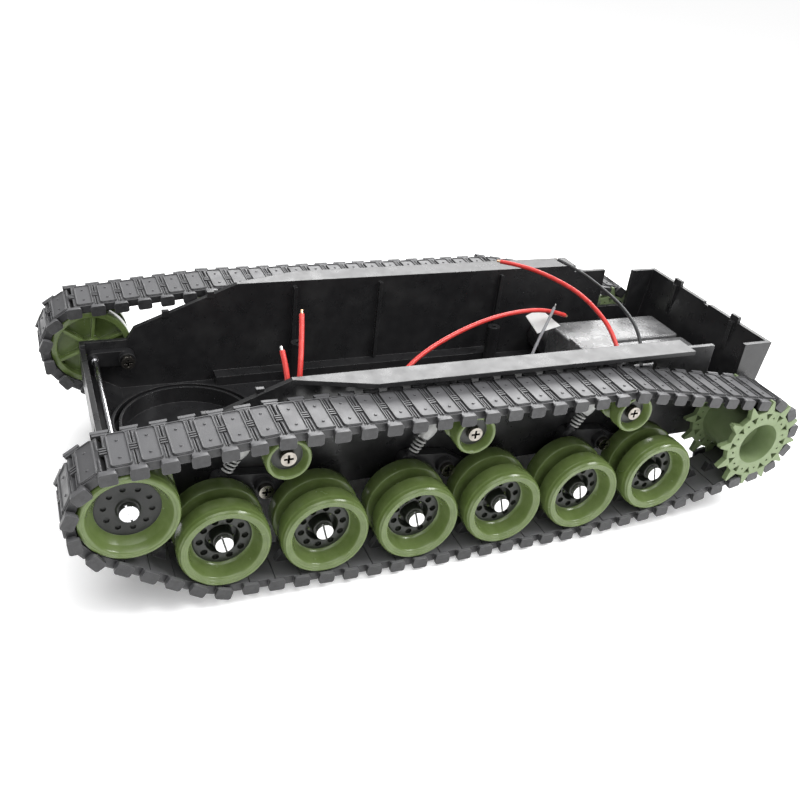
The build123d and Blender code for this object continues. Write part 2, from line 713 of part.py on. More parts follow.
def make_screws():
    """All pan-head screws: bogie pivots, return rollers and idler tensioners."""
    pivots = [(x, z, bogie_journal_end_y, 1) for x, z in zip(bogie_x, bogie_z)]
    rollers = [(x, roller_z, roller_journal_end_y, 1) for x in roller_x]
    tensioner = [(tensioner_screw_x, idler_z, tensioner_screw_y, -1)]
    with BuildPart() as screws:
        for side in sides.values():
            for x, z, seat_y, outward in pivots + rollers + tensioner:
                facing = side * outward
                with BuildSketch(face_plane(x, side * seat_y, z, facing)):
                    Circle(screw_radius)
                extrude(amount=-screw_length)
                with BuildSketch(face_plane(x, side * seat_y, z, facing)):
                    Circle(screw_head_radius)
                extrude(amount=screw_head_height)
                top = face_plane(x, side * seat_y + facing * screw_head_height, z, facing)
                with BuildSketch(top):
                    Rectangle(3.0, 0.7)
                    Rectangle(0.7, 3.0)
                extrude(amount=-1.1, mode=Mode.SUBTRACT)
    save(screws, "pan_head_screws")


def arc_radii(route):
    """Largest smooth bend radius at each inner point of a wire's route."""
    radii = []
    for before, here, after in zip(route, route[1:], route[2:]):
        first, second = Vector(*here) - Vector(*before), Vector(*after) - Vector(*here)
        half_turn = math.radians(first.get_angle(second)) / 2
        radii.append(0.45 * min(first.length, second.length) / math.tan(half_turn))
    return radii


def make_wire(name):
    """Plain round wire along its route: straight runs joined by tangent arcs."""
    diameter, route = wire_routes[name]
    radii = arc_radii(route)
    start = Plane(origin=route[0], z_dir=Vector(*route[1]) - Vector(*route[0]))
    with BuildPart() as wire:
        with BuildLine() as path:
            FilletPolyline(*route, radius=radii)
        with BuildSketch(start):
            Circle(diameter / 2)
        sweep(path=path.wires()[0])
    length = path.wires()[0].length
    expected = length * math.pi * diameter ** 2 / 4
    print(f"{name}: length {length:.1f}, bend radii {[round(r, 1) for r in radii]},",
          f"volume {wire.part.volume:.1f} of {expected:.1f}")
    save(wire, name)


def make_wire_tag():
    """Small folded tag under the end of the long red wire."""
    plane = Plane(origin=(-60.5, -12.2, 51.8), x_dir=(-1, 0.1, -0.35), z_dir=(0.25, 0.8, 0.55))
    with BuildPart() as tag:
        with BuildSketch(plane):
            with BuildLine():
                Polyline((-7.5, 0.5), (-2.0, 5.0), (8.0, 0.0), (-1.0, -5.5), close=True)
            make_face()
        extrude(amount=-0.6)
    save(tag, "wire_tag")


# ---------------------------------------------------------------- build every piece

make_hull_tub()
make_shock_barrels()
make_motors()
make_idler_axle()
make_idler_tensioners()
make_screws()
make_wire_tag()
for wire_name in wire_routes:
    make_wire(wire_name)
for side_name, side_sign in sides.items():
    make_gearbox(f"gearbox_{side_name}", side_sign)
    make_track(side_name)
    make_sprocket(f"sprocket_{side_name}", side_sign)
    make_output_shaft(f"output_shaft_{side_name}", side_sign)
    make_idler(f"idler_{side_name}", side_sign)
    for number in range(3):
        make_bogie_arm(f"bogie_arm_{side_name}_{number + 1}", number, side_sign)
        make_wheel_pins(f"wheel_pins_{side_name}_{number + 1}", number, side_sign)
        make_spring(f"shock_spring_{side_name}_{number + 1}", number, side_sign)
        make_return_roller(f"return_roller_{side_name}_{number + 1}", roller_x[number], side_sign)
    for number in range(6):
        place = (wheel_x[number], wheel_z[number], side_sign)
        make_road_wheel(f"road_wheel_{side_name}_{number + 1}", *place)
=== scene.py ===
"""Looks of the tracked tank chassis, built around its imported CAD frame.

Metres, +X forwards (idler end), +Y left, +Z up. Sizes in the tables below are in millimetres.
"""

import json
import math
import random

import bmesh
import bpy
from mathutils import Matrix, Vector


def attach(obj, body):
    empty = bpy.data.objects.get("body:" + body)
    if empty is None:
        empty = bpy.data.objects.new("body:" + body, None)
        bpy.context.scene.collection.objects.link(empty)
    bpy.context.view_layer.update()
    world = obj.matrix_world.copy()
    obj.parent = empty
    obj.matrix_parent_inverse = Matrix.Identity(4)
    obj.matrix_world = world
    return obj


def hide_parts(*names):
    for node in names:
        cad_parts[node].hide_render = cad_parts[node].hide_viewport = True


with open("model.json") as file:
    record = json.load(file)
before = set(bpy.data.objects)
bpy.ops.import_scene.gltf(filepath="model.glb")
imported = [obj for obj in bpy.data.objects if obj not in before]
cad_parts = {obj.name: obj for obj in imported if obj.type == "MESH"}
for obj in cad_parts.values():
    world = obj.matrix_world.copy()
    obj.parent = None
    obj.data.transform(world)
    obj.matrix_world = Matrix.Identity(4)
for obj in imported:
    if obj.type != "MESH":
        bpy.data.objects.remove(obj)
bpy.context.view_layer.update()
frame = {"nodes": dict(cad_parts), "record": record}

MM = 0.001
SIDES = {"left": 1, "right": -1}
random.seed(7)


# ---------------------------------------------------------------- camera

CAMERA_AT = Vector((0.13618, 0.27137, 0.20108))
CAMERA_LOOKS_AT = Vector((-0.01252, -0.03979, 0.00335))
CAMERA_ROLL = math.radians(6.99)
CAMERA_LENS, CAMERA_SENSOR = 39.76, 36.0
CAMERA_CLIP = 0.01, 100.0


def add_camera():
    """Camera at the photograph's viewing angle, rolled a little about its line of sight."""
    data = bpy.data.cameras.new("camera")
    data.lens, data.sensor_width = CAMERA_LENS, CAMERA_SENSOR
    data.clip_start, data.clip_end = CAMERA_CLIP
    camera = bpy.data.objects.new("camera", data)
    bpy.context.scene.collection.objects.link(camera)
    forward = (CAMERA_LOOKS_AT - CAMERA_AT).normalized()
    right = forward.cross(Vector((0, 0, 1))).normalized()
    up = right.cross(forward)
    turn_c, turn_s = math.cos(CAMERA_ROLL), math.sin(CAMERA_ROLL)
    rolled_right = turn_c * right + turn_s * up
    rolled_up = turn_c * up - turn_s * right
    rotation = Matrix((rolled_right, rolled_up, -forward)).transposed()
    camera.matrix_world = Matrix.Translation(CAMERA_AT) @ rotation.to_4x4()
    bpy.context.scene.camera = camera


# ---------------------------------------------------------------- materials

class Nodes:
    """Small helper that adds linked shader nodes to one material."""

    def __init__(self, name):
        self.material = bpy.data.materials.new(name)
        self.material.use_nodes = True
        self.tree = self.material.node_tree
        self.shader = self.tree.nodes["Principled BSDF"]
        self.place = self.add("ShaderNodeTexCoord").outputs["Object"]

    def add(self, kind, **values):
        """New node of a kind, with its attributes set."""
        node = self.tree.nodes.new(kind)
        for key, value in values.items():
            setattr(node, key, value)
        return node

    def link(self, source, target):
        self.tree.links.new(source, target)

    def noise(self, scale, detail=4.0, roughness=0.55, place=None):
        """Fractal noise in the object's own coordinates; scale is per metre."""
        node = self.add("ShaderNodeTexNoise")
        node.inputs["Scale"].default_value = scale
        node.inputs["Detail"].default_value = detail
        node.inputs["Roughness"].default_value = roughness
        self.link(place or self.place, node.inputs["Vector"])
        return node.outputs["Fac"]

    def remap(self, value, low, high, to_low, to_high):
        """The value moved from one range to another and clamped there."""
        node = self.add("ShaderNodeMapRange")
        ends = {"From Min": low, "From Max": high, "To Min": to_low, "To Max": to_high}
        for key, number in ends.items():
            node.inputs[key].default_value = number
        self.link(value, node.inputs["Value"])
        return node.outputs["Result"]

    def math(self, operation, a, b=None):
        """One arithmetic node; a and b are numbers or sockets."""
        node = self.add("ShaderNodeMath", operation=operation)
        for k, value in enumerate((a, b)):
            if value is None:
                continue
            if isinstance(value, (int, float)):
                node.inputs[k].default_value = value
            else:
                self.link(value, node.inputs[k])
        return node.outputs[0]

    def mix(self, share, first, second):
        """Blend of two colours, each a tuple or a socket."""
        node = self.add("ShaderNodeMix", data_type="RGBA")
        self.link(share, node.inputs["Factor"])
        for key, value in ((6, first), (7, second)):
            if isinstance(value, tuple):
                node.inputs[key].default_value = (*value, 1.0)
            else:
                self.link(value, node.inputs[key])
        return node.outputs[2]

    def stretched(self, x, y, z):
        """Object coordinates scaled unevenly, for drawing marks that run one way."""
        node = self.add("ShaderNodeMapping")
        node.inputs["Scale"].default_value = (x, y, z)
        self.link(self.place, node.inputs["Vector"])
        return node.outputs["Vector"]

    def rings(self, scale):
        """Fine noise that depends only on the distance from the local Y axis, like tool marks."""
        flat = self.add("ShaderNodeVectorMath", operation="MULTIPLY")
        flat.inputs[1].default_value = (1, 0, 1)
        self.link(self.place, flat.inputs[0])
        size = self.add("ShaderNodeVectorMath", operation="LENGTH")
        self.link(flat.outputs[0], size.inputs[0])
        node = self.add("ShaderNodeTexNoise", noise_dimensions="1D")
        node.inputs["Scale"].default_value = scale
        node.inputs["Detail"].default_value = 3.0
        self.link(size.outputs["Value"], node.inputs["W"])
        return node.outputs["Fac"]

    def facing_up(self):
        """How far the surface faces up: 1 on level ground, 0 on a wall, -1 on a ceiling."""
        split = self.add("ShaderNodeSeparateXYZ")
        self.link(self.add("ShaderNodeTexCoord").outputs["Normal"], split.inputs[0])
        return split.outputs["Z"]

    def distance_from_box(self, half_x, half_y):
        """Distance outside a rectangle about the local origin, in the XY plane."""
        split = self.add("ShaderNodeSeparateXYZ")
        self.link(self.place, split.inputs[0])
        sides = []
        for axis, half in (("X", half_x), ("Y", half_y)):
            outside = self.math("SUBTRACT", self.math("ABSOLUTE", split.outputs[axis]), half)
            sides.append(self.math("MAXIMUM", outside, 0.0))
        squares = [self.math("MULTIPLY", side, side) for side in sides]
        return self.math("SQRT", self.math("ADD", *squares))

    def rounded_normal(self, radius):
        """Normal that rolls over the edges as if they had a small radius."""
        node = self.add("ShaderNodeBevel", samples=4)
        node.inputs["Radius"].default_value = radius
        return node.outputs["Normal"]

    def edge_mask(self, rounded):
        """1 on sharp edges and 0 on flats, from how far the rounded normal leans away; used to lighten edges as
        wear and painted highlight.
        """
        dot = self.add("ShaderNodeVectorMath", operation="DOT_PRODUCT")
        self.link(rounded, dot.inputs[0])
        self.link(self.add("ShaderNodeNewGeometry").outputs["Normal"], dot.inputs[1])
        return self.remap(dot.outputs["Value"], 0.99, 0.8, 0.0, 1.0)

    def painted_recess_shade(self, distance):
        """1 in the open and 0 in recesses and seams, where shade is painted in."""
        node = self.add("ShaderNodeAmbientOcclusion", samples=4)
        node.inputs["Distance"].default_value = distance
        return self.remap(node.outputs["AO"], 0.615, 0.86, 0.0, 1.0)

    def bump(self, height, strength, distance, normal=None):
        """Normal tilted by a height map, on top of another normal when one is given."""
        node = self.add("ShaderNodeBump")
        node.inputs["Strength"].default_value = strength
        node.inputs["Distance"].default_value = distance
        self.link(height, node.inputs["Height"])
        if normal is not None:
            self.link(normal, node.inputs["Normal"])
        return node.outputs["Normal"]


GRAIN_SCALE, GRAIN_DEPTH = 3800.0, 0.00005
RING_SCALE = 9000.0
WEAR_SCALE, SATIN_SCALE = 900.0, 180.0
SPECK_SCALE, FILM_SCALE = 2600.0, 70.0
STAIN_SCALE, TOOL_MARK_DEPTH = 500.0, 0.00003
# Near black painted into metal recesses and slots as shade
RECESS_SHADE_COLOUR = (0.008, 0.008, 0.008)


def moulded_plastic(name, colour, tint, rough, grain=0.15, edge=None, edge_share=0.5, mottle=250.0,
                    rings=0.0, radius=0.00025, dust=0.0, dust_colour=(0.35, 0.35, 0.34), painted_top_light=None):
    """Injection-moulded plastic: mottled colour, satin variation, fine grain, softened edges, edges lighter
    from wear and painted highlight, and optionally a painted lighter top and dust.
    """
    n = Nodes(name)
    base = n.mix(n.remap(n.noise(mottle, 6.0), 0.35, 0.65, 0.0, 1.0), colour, tint)
    rounded = n.rounded_normal(radius)
    # Sharp edges lightened: part wear, part painted highlight where the edges catch the light
    if edge is not None:
        edge_wear_and_highlight = n.math("MULTIPLY", n.edge_mask(rounded), n.remap(n.noise(WEAR_SCALE), 0.3, 0.7, 0.4, 1.0))
        base = n.mix(n.math("MULTIPLY", edge_wear_and_highlight, edge_share), base, edge)
    # Upward-facing surfaces mixed towards a lighter colour: painted light falling on the tops
    if painted_top_light is not None:
        base = n.mix(n.remap(n.facing_up(), 0.35, 0.95, 0.0, 1.0), base, painted_top_light)
    if dust:
        specks = n.remap(n.noise(SPECK_SCALE, 2.0), 0.68, 0.74, 0.0, dust)
        film = n.remap(n.noise(FILM_SCALE, 5.0), 0.5, 0.75, 0.0, dust * 0.35)
        base = n.mix(n.math("MAXIMUM", specks, film), base, dust_colour)
    n.link(base, n.shader.inputs["Base Color"])
    satin = n.remap(n.noise(SATIN_SCALE, 5.0), 0.3, 0.7, rough - 0.06, rough + 0.08)
    n.link(satin, n.shader.inputs["Roughness"])
    height = n.noise(GRAIN_SCALE, 3.0)
    if rings:
        height = n.math("ADD", height, n.math("MULTIPLY", n.rings(RING_SCALE), rings))
    n.link(n.bump(height, grain, GRAIN_DEPTH, rounded), n.shader.inputs["Normal"])
    n.shader.inputs["Specular IOR Level"].default_value = 0.5
    return n.material


def turned_metal(name, colour, tint, rough, stretch=(600.0, 40.0, 600.0), radius=0.00012, recess_shade=None):
    """Bright metal with fine drawing or turning marks, a little staining and painted shade in recesses."""
    n = Nodes(name)
    base = n.mix(n.remap(n.noise(STAIN_SCALE, 5.0), 0.4, 0.7, 0.0, 1.0), colour, tint)
    # Recesses and slots darkened towards near black: painted shade
    if recess_shade is not None:
        base = n.mix(n.painted_recess_shade(recess_shade), RECESS_SHADE_COLOUR, base)
    n.link(base, n.shader.inputs["Base Color"])
    marks = n.noise(6.0, 3.0, 0.6, n.stretched(*stretch))
    n.link(n.remap(marks, 0.3, 0.7, rough - 0.05, rough + 0.1), n.shader.inputs["Roughness"])
    n.link(n.bump(marks, 0.2, TOOL_MARK_DEPTH, n.rounded_normal(radius)), n.shader.inputs["Normal"])
    n.shader.inputs["Metallic"].default_value = 1.0
    return n.material


def wire_skin(name, colour, tint):
    """Extruded PVC insulation: slight waviness, satin gloss, handling marks."""
    n = Nodes(name)
    base = n.mix(n.remap(n.noise(320.0, 4.0), 0.35, 0.65, 0.0, 1.0), colour, tint)
    n.link(base, n.shader.inputs["Base Color"])
    n.link(n.remap(n.noise(900.0), 0.3, 0.7, 0.28, 0.45), n.shader.inputs["Roughness"])
    n.link(n.bump(n.noise(700.0, 3.0), 0.25, 0.00008), n.shader.inputs["Normal"])
    n.shader.inputs["Subsurface Weight"].default_value = 0.08
    n.shader.inputs["Subsurface Radius"].default_value = (0.001, 0.0004, 0.0004)
    return n.material


def smoky_cover(name):
    """Smoky translucent moulding with cloudy flow marks."""
    n = Nodes(name)
    cloud = n.remap(n.noise(90.0, 5.0), 0.35, 0.65, 0.0, 1.0)
    n.link(n.mix(cloud, (0.2, 0.2, 0.205), (0.34, 0.34, 0.345)), n.shader.inputs["Base Color"])
    n.link(n.remap(n.noise(140.0, 4.0), 0.3, 0.7, 0.16, 0.34), n.shader.inputs["Roughness"])
    skin = n.bump(n.noise(1500.0, 3.0), 0.12, GRAIN_DEPTH, n.rounded_normal(0.0003))
    n.link(skin, n.shader.inputs["Normal"])
    n.shader.inputs["Transmission Weight"].default_value = 0.55
    n.shader.inputs["IOR"].default_value = 1.5
    return n.material


def make_materials():
    """Every material by its slot name, plus a few for details inside one piece."""
    black, black_tint = (0.0125, 0.0125, 0.0135), (0.018, 0.018, 0.019)
    olive, olive_tint = (0.098, 0.14, 0.04), (0.12, 0.165, 0.055)
    return {
        "hull_black": moulded_plastic("hull_black_plastic", black, black_tint, 0.3, 0.1,
                                      edge=(0.22, 0.22, 0.225), edge_share=0.3, dust=0.1),
        # Track: tops lightened as painted light from above, edges lighter from wear and painted highlight
        "track_charcoal": moulded_plastic("track_charcoal_plastic", (0.02, 0.02, 0.021),
                                          (0.034, 0.034, 0.036),
                                          0.4, 0.6, edge=(0.42, 0.42, 0.43), edge_share=0.4, mottle=700.0,
                                          radius=0.00018, dust=0.12, painted_top_light=(0.115, 0.115, 0.12)),
        "wheel_olive": moulded_plastic("wheel_olive_plastic", olive, olive_tint, 0.2, 0.1,
                                       edge=(0.3, 0.36, 0.2), edge_share=0.3, rings=1.4, dust=0.05),
        "hub_dark": moulded_plastic("hub_dark_plastic", (0.011, 0.013, 0.01),
                                    (0.018, 0.021, 0.015), 0.34,
                                    0.25, edge=(0.12, 0.13, 0.1), edge_share=0.3),
        "hub_black": moulded_plastic("hub_black_plastic", (0.004, 0.005, 0.004),
                                     (0.008, 0.009, 0.007), 0.4,
                                     0.25, edge=(0.05, 0.055, 0.04), edge_share=0.3),
        "sprocket_green": moulded_plastic("sprocket_green_plastic", (0.16, 0.215, 0.098),
                                          (0.185, 0.24, 0.12),
                                          0.48, 0.3, edge=(0.36, 0.42, 0.28), edge_share=0.3, dust=0.05),
        "arm_grey": moulded_plastic("arm_grey_plastic", (0.026, 0.026, 0.028),
                                    (0.036, 0.036, 0.038), 0.36, 0.25,
                                    edge=(0.2, 0.2, 0.2), edge_share=0.3),
        "barrel_grey": moulded_plastic("barrel_grey_plastic", (0.5, 0.5, 0.495),
                                       (0.6, 0.6, 0.59), 0.4, 0.2,
                                       edge=(0.75, 0.75, 0.74), edge_share=0.2),
        "spring_steel": moulded_plastic("spring_grey_coating", (0.5, 0.5, 0.5),
                                        (0.66, 0.66, 0.65), 0.35, 0.2,
                                        edge=(0.8, 0.8, 0.8), edge_share=0.2),
        "bracket_black": moulded_plastic("bracket_black_plastic", black, black_tint, 0.34, 0.2,
                                         edge=(0.2, 0.2, 0.2), edge_share=0.3),
        "tag_white": moulded_plastic("tag_white_film", (0.82, 0.83, 0.81), (0.9, 0.9, 0.89), 0.4, 0.15),
        "axle_steel": turned_metal("axle_bright_steel", (0.78, 0.78, 0.8), (0.62, 0.62, 0.64), 0.14),
        "shaft_steel": turned_metal("shaft_steel_metal", (0.5, 0.5, 0.51), (0.4, 0.4, 0.41), 0.25),
        "pin_steel": turned_metal("pin_plated_metal", (0.9, 0.9, 0.89), (0.8, 0.8, 0.79), 0.3,
                                  stretch=(500.0, 500.0, 500.0), recess_shade=0.0009),
        "screw_nickel": turned_metal("screw_nickel_metal", (0.36, 0.335, 0.3), (0.2, 0.185, 0.165), 0.14,
                                     stretch=(500.0, 500.0, 500.0), recess_shade=0.0012),
        # Near-black material for slots, such as the track's joint slots: painted shade
        "slot_dark": moulded_plastic("slot_painted_shade", (0.006, 0.006, 0.006), (0.01, 0.01, 0.01),
                                     0.6, 0.2),
        "motor_steel": turned_metal("motor_can_metal", (0.42, 0.42, 0.43), (0.3, 0.3, 0.31), 0.3),
        "copper": turned_metal("copper_strand", (0.85, 0.5, 0.32), (0.75, 0.4, 0.24), 0.25),
        "tinned": turned_metal("tinned_strand", (0.85, 0.84, 0.82), (0.7, 0.69, 0.67), 0.25),
        "wire_red": wire_skin("wire_red_skin", (0.62, 0.035, 0.03), (0.72, 0.06, 0.05)),
        "wire_black": wire_skin("wire_black_skin", (0.03, 0.032, 0.033), (0.05, 0.052, 0.054)),
        "wire_grey": wire_skin("wire_grey_skin", (0.36, 0.36, 0.38), (0.46, 0.46, 0.48)),
        "cover_smoky": smoky_cover("cover_smoky_plastic"),
    }


# ---------------------------------------------------------------- mesh helpers

def piece(name, mesh, materials, body, nodes=(), matrix=None):
    """New object from a mesh, riding on a CAD body and standing for CAD nodes."""
    made = bpy.data.objects.new(name, mesh)
    bpy.context.scene.collection.objects.link(made)
    if not mesh.materials:
        for material in materials:
            mesh.materials.append(material)
    if matrix is not None:
        made.matrix_world = matrix
    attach(made, body)
    if nodes:
        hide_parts(*nodes)
    return made


def smooth_by_angle(mesh, degrees=32.0):
    """Smooth shading that stays sharp at edges above an angle."""
    mesh.shade_smooth()
    mesh.set_sharp_from_angle(angle=math.radians(degrees))


def softened(profile, radius):
    """Profile with each corner replaced by two points, a small distance along its runs."""
    points = []
    count = len(profile)
    for k, here in enumerate(profile):
        here = Vector(here)
        for other in (profile[k - 1], profile[(k + 1) % count]):
            run = Vector(other) - here
            points.append(here + run * min(radius / run.length, 0.3))
    return points


def lathe(bm, profile, steps=72, material=0):
    """Closed solid of revolution about the local Y axis; profile is (radius, y) in millimetres."""
    rings = []
    for k in range(steps):
        angle = 2 * math.pi * k / steps
        rings.append([bm.verts.new((MM * r * math.cos(angle), MM * y, MM * r * math.sin(angle)))
                      for r, y in profile])
    for k in range(steps):
        here, after = rings[k], rings[(k + 1) % steps]
        for j in range(len(profile)):
            i = (j + 1) % len(profile)
            face = bm.faces.new((here[j], here[i], after[i], after[j]))
            face.material_index = material


def finished(bm, name, degrees=32.0):
    """Mesh from a bmesh with outward normals and smooth shading."""
    bmesh.ops.recalc_face_normals(bm, faces=bm.faces)
    mesh = bpy.data.meshes.new(name)
    bm.to_mesh(mesh)
    bm.free()
    smooth_by_angle(mesh, degrees)
    return mesh


def box_into(bm, low, high, material=0):
    """Box between two corners, in millimetres."""
    made = bmesh.ops.create_cube(bm, size=1.0)["verts"]
    for vert in made:
        vert.co = Vector([MM * (a + (c + 0.5) * (b - a)) for a, b, c in zip(low, high, vert.co)])
    for face in {face for vert in made for face in vert.link_faces}:
        face.material_index = material
    return made


def rod_into(bm, x, z, y_low, y_high, radius, steps=16, cone=1.0, material=0):
    """Round rod along Y, in millimetres, with an optional taper."""
    turn = Matrix.Rotation(math.radians(-90), 4, "X")
    place = Matrix.Translation((MM * x, MM * (y_low + y_high) / 2, MM * z)) @ turn
    made = bmesh.ops.create_cone(bm, cap_ends=True, segments=steps, radius1=MM * radius,
                                 radius2=MM * radius * cone, depth=MM * (y_high - y_low), matrix=place)["verts"]
    for face in {face for vert in made for face in vert.link_faces}:
        face.material_index = material
    return made


def cut_with(mesh, cutter):
    """The mesh with another mesh subtracted."""
    solid = bpy.data.objects.new("solid", mesh)
    tool = bpy.data.objects.new("tool", cutter)
    for made in (solid, tool):
        bpy.context.scene.collection.objects.link(made)
    cut = solid.modifiers.new("cut", "BOOLEAN")
    cut.operation, cut.object, cut.solver = "DIFFERENCE", tool, "EXACT"
    graph = bpy.context.evaluated_depsgraph_get()
    result = bpy.data.meshes.new_from_object(solid.evaluated_get(graph))
    for made in (solid, tool):
        bpy.data.objects.remove(made)
    return result


def mirrored_copy(mesh, name):
    """The same mesh for the other side of the chassis, mirrored in Y."""
    copy = mesh.copy()
    copy.name = name
    copy.transform(Matrix.Scale(-1, 4, (0, 1, 0)))
    copy.flip_normals()
    return copy


# ---------------------------------------------------------------- wires

WIRES = {
    "motor_wire_red": (1.8, "wire_red", "copper", [
        (-71.3, 26.8, 55.6), (-71.4, 20.5, 61.3), (-71.4, 8.0, 65.2), (-69.5, -6.0, 67.9),
        (-62.5, -20.0, 69.7), (-55.0, -29.5, 70.3), (-48.0, -36.0, 69.8)]),
    "motor_wire_black": (1.4, "wire_black", "tinned", [
        (-77.6, 34.4, 39.2), (-77.7, 34.4, 47.2), (-80.4, 30.2, 54.0), (-85.2, 18.5, 60.3),
        (-88.2, 3.5, 62.8), (-87.2, -13.5, 65.2), (-84.0, -28.0, 67.3), (-78.1, -38.0, 69.0)]),
    "battery_wire_red": (1.8, "wire_red", "copper", [
        (27.5, 26.0, 27.5), (25.5, 23.5, 38.0), (17.0, 16.0, 47.0), (5.0, 9.0, 53.2),
        (-13.0, 2.5, 58.0), (-31.0, -2.2, 60.9), (-49.0, -6.2, 60.6), (-61.0, -8.6, 58.3),
        (-70.6, -10.0, 54.5)]),
    "signal_wire_grey": (1.2, "wire_grey", "tinned", [
        (-47.0, 0.0, 27.5), (-50.0, -1.5, 37.0), (-54.0, -3.5, 46.8), (-58.0, -5.0, 55.0),
        (-61.0, -6.0, 62.6)]),
    "short_lead_red": (1.8, "wire_red", "tinned", [
        (64.5, 29.0, 27.5), (63.8, 31.8, 36.6), (63.0, 34.0, 46.5), (62.6, 34.3, 56.0),
        (62.6, 31.3, 64.6), (63.2, 25.4, 70.3)]),
    "tall_lead_red": (1.8, "wire_red", "copper", [
        (56.0, 29.0, 27.5), (58.0, 32.4, 38.9), (59.4, 34.2, 51.6), (58.6, 32.6, 63.8),
        (56.0, 24.5, 71.2), (54.1, 16.8, 78.6)]),
}
# Along the whole route, in millimetres
BARE_END = 1.6
STRAND_SHARE = 0.55


def nurbs_tube(name, points, diameter):
    """Round tube along one smooth spline; points are in millimetres."""
    data = bpy.data.curves.new(name, "CURVE")
    data.dimensions = "3D"
    data.bevel_depth = MM * diameter / 2
    data.bevel_resolution = 5
    data.resolution_u = 16
    data.use_fill_caps = True
    spline = data.splines.new("NURBS")
    spline.points.add(len(points) - 1)
    for control, point in zip(spline.points, points):
        control.co = (*[MM * c for c in point], 1.0)
    spline.order_u = 3
    spline.use_endpoint_u = True
    made = bpy.data.objects.new(name, data)
    bpy.context.scene.collection.objects.link(made)
    return made


def add_wires(materials):
    """Each wire as an insulated skin along its route with a short bare strand at its free end."""
    for name, (diameter, slot, strand, route) in WIRES.items():
        last, before = Vector(route[-1]), Vector(route[-2])
        back = (before - last).normalized()
        skin = nurbs_tube(f"{name}_skin", route[:-1] + [tuple(last + BARE_END * back)], diameter)
        skin.data.materials.append(materials[slot])
        core = nurbs_tube(f"{name}_strand", [tuple(last + 2 * BARE_END * back), tuple(last + 0.1 * back)],
                          diameter * STRAND_SHARE)
        core.data.splines[0].order_u = 2
        core.data.materials.append(materials[strand])
        for made in (skin, core):
            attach(made, "chassis")
        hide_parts(name)


# ---------------------------------------------------------------- wheels

WHEEL_RADIUS = 14.7
WHEEL_PITCH = 32.5
WHEEL_MIDDLE_X, GROUND_WHEEL_Z = 7.6, 19.0
WHEEL_LIFT = (2.8, 1.2, 0.0, 0.0, 0.0, 2.8)
WHEEL_X = [WHEEL_MIDDLE_X + WHEEL_PITCH * (2.5 - k) for k in range(6)]
WHEEL_Z = [GROUND_WHEEL_Z + lift for lift in WHEEL_LIFT]
ROLLER_X, ROLLER_Z, ROLLER_RADIUS = (69.6, 6.6, -56.4), 50.4, 7.3
IDLER_X, IDLER_Z = 116.4, 38.9
SPROCKET_X, SPROCKET_Z = -116.4, 31.8
SIDE_Y = 53.5
HUB_HOLES, HUB_LUGS, IDLER_RIBS = 10, 6, 6


def road_wheel_mesh():
    """Olive twin disc with a stepped rim and deep dish, and a dark hub face with round recesses."""
    rim = WHEEL_RADIUS
    outer = [
        (4.2, 46.1), (4.2, 48.0), (12.0, 48.0), (12.8, 45.0), (14.2, 45.0), (rim, 45.5), (rim, 50.9),
        (14.4, 51.2), (8.2, 51.2), (8.2, 55.8), (14.4, 55.8), (rim, 56.2), (rim, 60.9), (14.45, 61.3),
        (14.4, 62.5), (13.9, 62.9), (13.8, 63.35), (13.1, 63.35), (12.95, 63.05), (12.3, 63.05),
        (12.15, 62.8), (11.6, 62.8), (11.3, 62.3), (10.9, 60.6), (10.2, 58.2), (9.7, 57.4), (9.25, 57.2),
        (9.25, 56.4), (3.0, 53.0), (1.58, 53.0), (1.58, 46.1)]
    bm = bmesh.new()
    lathe(bm, softened(outer, 0.14), 80, 0)
    hub = [(3.0, 53.0), (9.35, 56.0), (9.35, 57.4), (8.9, 57.6), (5.6, 57.6), (5.3, 57.3), (5.0, 54.4),
           (3.5, 54.3), (3.35, 58.6), (3.1, 58.9), (1.6, 58.9), (1.6, 53.0)]
    hub_bm = bmesh.new()
    lathe(hub_bm, softened(hub, 0.12), 80, 0)
    hub_mesh = finished(hub_bm, "hub")
    cut_bm = bmesh.new()
    for k in range(HUB_HOLES):
        angle = math.radians(360 / HUB_HOLES * k + 8)
        rod_into(cut_bm, 7.15 * math.cos(angle), 7.15 * math.sin(angle), 56.3, 58.4, 1.12, 20)
    cut_mesh = finished(cut_bm, "cut")
    hub_mesh = cut_with(hub_mesh, cut_mesh)
    start = len(bm.faces)
    bm.from_mesh(hub_mesh)
    bm.faces.ensure_lookup_table()
    for face in list(bm.faces)[start:]:
        face.material_index = 1
    for k in range(HUB_LUGS):
        angle = math.radians(360 / HUB_LUGS * k + 20)
        rod_into(bm, 4.25 * math.cos(angle), 4.25 * math.sin(angle), 54.2, 55.1, 0.42, 12, 0.7, material=0)
    return finished(bm, "road_wheel")


